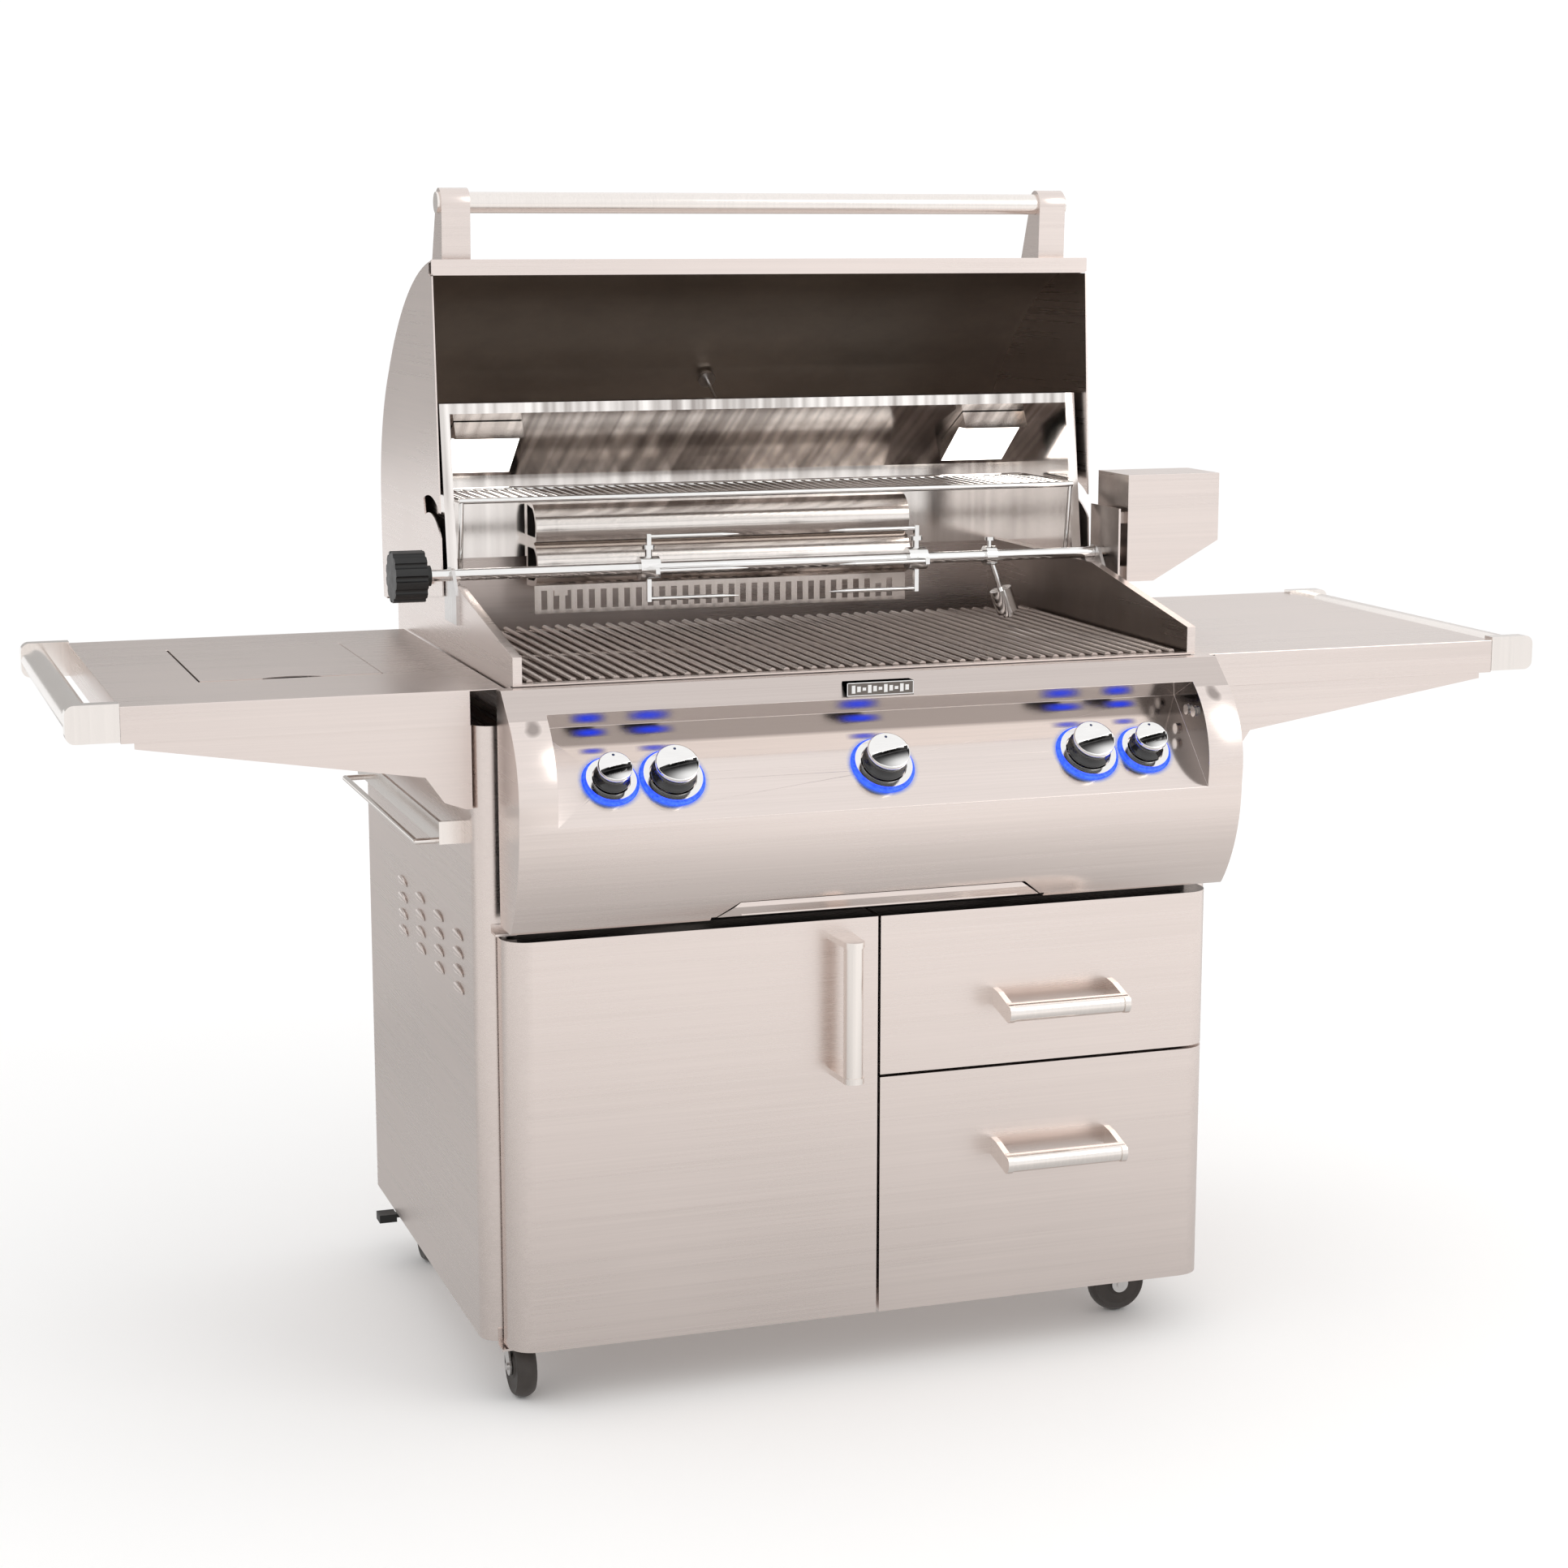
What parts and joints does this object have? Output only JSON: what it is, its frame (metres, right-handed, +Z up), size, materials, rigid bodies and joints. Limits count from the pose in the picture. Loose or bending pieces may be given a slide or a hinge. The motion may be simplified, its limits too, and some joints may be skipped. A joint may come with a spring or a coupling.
{
  "type": "gas barbecue grill",
  "caption": "Stainless gas barbecue on a closed cart with raised roll hood, spit, lit knobs, side shelves, side burner, door, drawers and casters.",
  "frame": {"origin": "on the floor, midway between the shelf rails' ends and midway between the bowed control panel and the raised hood", "axes": "+X along the length to the cook's right, +Y to the back, +Z up"},
  "size_m": [2.046, 0.8841, 1.5799],
  "materials": {
    "brushed_steel": "vertical brushed grain, satin",
    "bright_steel": "fine brushed, brighter",
    "polished_chrome": "polished",
    "grid_steel": "round bar, heat-tinted",
    "black_plastic": "matte black",
    "light_blue": "translucent, lit from behind",
    "lamp_glass": "frosted",
    "zinc_steel": "bright zinc plate",
    "wheel_rubber": "grey-black rubber",
    "gas_pipe": "plain brass and steel pipe"
  },
  "bodies": {
    "cart": {"left_side_panel": "brushed_steel", "right_side_panel": "brushed_steel", "back_panel": "brushed_steel", "floor_pan": "brushed_steel", "cart_frame": "brushed_steel", "control_panel": "brushed_steel", "firebox": "brushed_steel", "left_shelf": "brushed_steel", "right_shelf": "brushed_steel", "shelf_gussets": "brushed_steel", "rotisserie_motor": "brushed_steel", "upper_oven": "brushed_steel", "shelf_rails": "bright_steel", "towel_rail": "bright_steel", "badge": "bright_steel", "rear_burner": "bright_steel", "side_burner": "bright_steel", "knob_bezels": "polished_chrome", "warming_rack": "polished_chrome", "cooking_grids": "grid_steel", "main_burners": "grid_steel", "knob_light_rings": "light_blue", "interior_lights": "lamp_glass", "drawer_slides": "zinc_steel", "spit_supports": "zinc_steel", "gas_manifold": "gas_pipe"},
    "hood": {"hood_skin": "brushed_steel", "hood_ends": "brushed_steel", "hood_handle": "bright_steel", "hood_brackets": "brushed_steel", "thermometer": "zinc_steel"},
    "spit": {"spit_rod": "polished_chrome", "spit_forks": "polished_chrome", "spit_grip": "black_plastic", "counterweight": "polished_chrome"},
    "door": {"door_shell": "brushed_steel", "door_pull": "bright_steel"},
    "upper_drawer": {"upper_drawer": "brushed_steel", "upper_drawer_pull": "bright_steel"},
    "lower_drawer": {"lower_drawer": "brushed_steel", "lower_drawer_pull": "bright_steel"},
    "drip_tray": {"drip_tray": "brushed_steel"},
    "side_burner_lid": {"side_burner_lid": "brushed_steel"},
    "knob_light_button": {"knob_light_button": "polished_chrome"},
    "oven_light_button": {"oven_light_button": "polished_chrome"},
    "brake_lever_front_left": {"brake_lever_front_left": "black_plastic"},
    "brake_lever_rear_left": {"brake_lever_rear_left": "black_plastic"},
    "rear_burner_knob": {"rear_burner_knob": "polished_chrome"},
    "left_knob": {"left_knob": "polished_chrome"},
    "middle_knob": {"middle_knob": "polished_chrome"},
    "right_knob": {"right_knob": "polished_chrome"},
    "side_burner_knob": {"side_burner_knob": "polished_chrome"},
    "caster_fork_front_left": {"caster_fork_front_left": "zinc_steel"},
    "caster_wheel_front_left": {"caster_wheel_front_left": "wheel_rubber"},
    "caster_fork_front_right": {"caster_fork_front_right": "zinc_steel"},
    "caster_wheel_front_right": {"caster_wheel_front_right": "wheel_rubber"},
    "caster_fork_rear_left": {"caster_fork_rear_left": "zinc_steel"},
    "caster_wheel_rear_left": {"caster_wheel_rear_left": "wheel_rubber"},
    "caster_fork_rear_right": {"caster_fork_rear_right": "zinc_steel"},
    "caster_wheel_rear_right": {"caster_wheel_rear_right": "wheel_rubber"}
  },
  "joints": [
    {"name": "hood_hinge", "type": "hinge", "parent": "cart", "child": "hood", "pos_m": [0, 0.102, 1.05], "axis": [1, 0, 0], "range_deg": [0, 91]},
    {"name": "spit_turn", "type": "hinge", "parent": "cart", "child": "spit", "pos_m": [0, 0.001, 1.064], "axis": [1, 0, 0], "continuous": true},
    {"name": "rear_burner_knob_turn", "type": "hinge", "parent": "cart", "child": "rear_burner_knob", "pos_m": [-0.365, -0.3945, 0.8415], "axis": [0, -0.7071, 0.7071], "range_deg": [0, 225]},
    {"name": "left_knob_turn", "type": "hinge", "parent": "cart", "child": "left_knob", "pos_m": [-0.284, -0.3945, 0.8415], "axis": [0, -0.7071, 0.7071], "range_deg": [0, 225]},
    {"name": "middle_knob_turn", "type": "hinge", "parent": "cart", "child": "middle_knob", "pos_m": [0, -0.3945, 0.8415], "axis": [0, -0.7071, 0.7071], "range_deg": [0, 225]},
    {"name": "right_knob_turn", "type": "hinge", "parent": "cart", "child": "right_knob", "pos_m": [0.289, -0.3945, 0.8415], "axis": [0, -0.7071, 0.7071], "range_deg": [0, 225]},
    {"name": "side_burner_knob_turn", "type": "hinge", "parent": "cart", "child": "side_burner_knob", "pos_m": [0.372, -0.3945, 0.8415], "axis": [0, -0.7071, 0.7071], "range_deg": [0, 225]},
    {"name": "knob_light_button_push", "type": "slide", "parent": "cart", "child": "knob_light_button", "axis": [1, 0, 0], "range_m": [0, 0.003], "stiffness_N_per_m": 300, "springref_m": -0.001},
    {"name": "oven_light_button_push", "type": "slide", "parent": "cart", "child": "oven_light_button", "axis": [1, 0, 0], "range_m": [0, 0.003], "stiffness_N_per_m": 300, "springref_m": -0.001},
    {"name": "door_hinge", "type": "hinge", "parent": "cart", "child": "door", "pos_m": [-0.487, -0.318, 0.36], "axis": [0, 0, 1], "range_deg": [-94, 0]},
    {"name": "upper_drawer_slide", "type": "slide", "parent": "cart", "child": "upper_drawer", "axis": [0, -1, 0], "range_m": [0, 0.4]},
    {"name": "lower_drawer_slide", "type": "slide", "parent": "cart", "child": "lower_drawer", "axis": [0, -1, 0], "range_m": [0, 0.4]},
    {"name": "drip_tray_slide", "type": "slide", "parent": "cart", "child": "drip_tray", "axis": [0, -1, 0], "range_m": [0, 0.35]},
    {"name": "side_burner_lid_hinge", "type": "hinge", "parent": "cart", "child": "side_burner_lid", "pos_m": [-0.716, 0.186, 0.945], "axis": [-1, 0, 0], "range_deg": [0, 95]},
    {"name": "caster_swivel_front_left", "type": "hinge", "parent": "cart", "child": "caster_fork_front_left", "pos_m": [-0.466, -0.238, 0.1], "axis": [0, 0, 1], "continuous": true},
    {"name": "caster_roll_front_left", "type": "hinge", "parent": "caster_fork_front_left", "child": "caster_wheel_front_left", "pos_m": [-0.466, -0.284, 0.042], "axis": [1, 0, 0], "continuous": true},
    {"name": "caster_swivel_front_right", "type": "hinge", "parent": "cart", "child": "caster_fork_front_right", "pos_m": [0.466, -0.238, 0.1], "axis": [0, 0, 1], "continuous": true},
    {"name": "caster_roll_front_right", "type": "hinge", "parent": "caster_fork_front_right", "child": "caster_wheel_front_right", "pos_m": [0.42, -0.238, 0.042], "axis": [0, 1, 0], "continuous": true},
    {"name": "caster_swivel_rear_left", "type": "hinge", "parent": "cart", "child": "caster_fork_rear_left", "pos_m": [-0.466, 0.33, 0.1], "axis": [0, 0, 1], "continuous": true},
    {"name": "caster_roll_rear_left", "type": "hinge", "parent": "caster_fork_rear_left", "child": "caster_wheel_rear_left", "pos_m": [-0.466, 0.284, 0.042], "axis": [1, 0, 0], "continuous": true},
    {"name": "caster_swivel_rear_right", "type": "hinge", "parent": "cart", "child": "caster_fork_rear_right", "pos_m": [0.466, 0.33, 0.1], "axis": [0, 0, 1], "continuous": true},
    {"name": "caster_roll_rear_right", "type": "hinge", "parent": "caster_fork_rear_right", "child": "caster_wheel_rear_right", "pos_m": [0.42, 0.33, 0.042], "axis": [0, 1, 0], "continuous": true},
    {"name": "brake_press_front_left", "type": "hinge", "parent": "caster_fork_front_left", "child": "brake_lever_front_left", "pos_m": [-0.4425, -0.2633, 0.07], "axis": [0, 1, 0], "range_deg": [0, 18]},
    {"name": "brake_press_rear_left", "type": "hinge", "parent": "caster_fork_rear_left", "child": "brake_lever_rear_left", "pos_m": [-0.4895, 0.3047, 0.07], "axis": [0, -1, 0], "range_deg": [0, 18]}
  ]
}
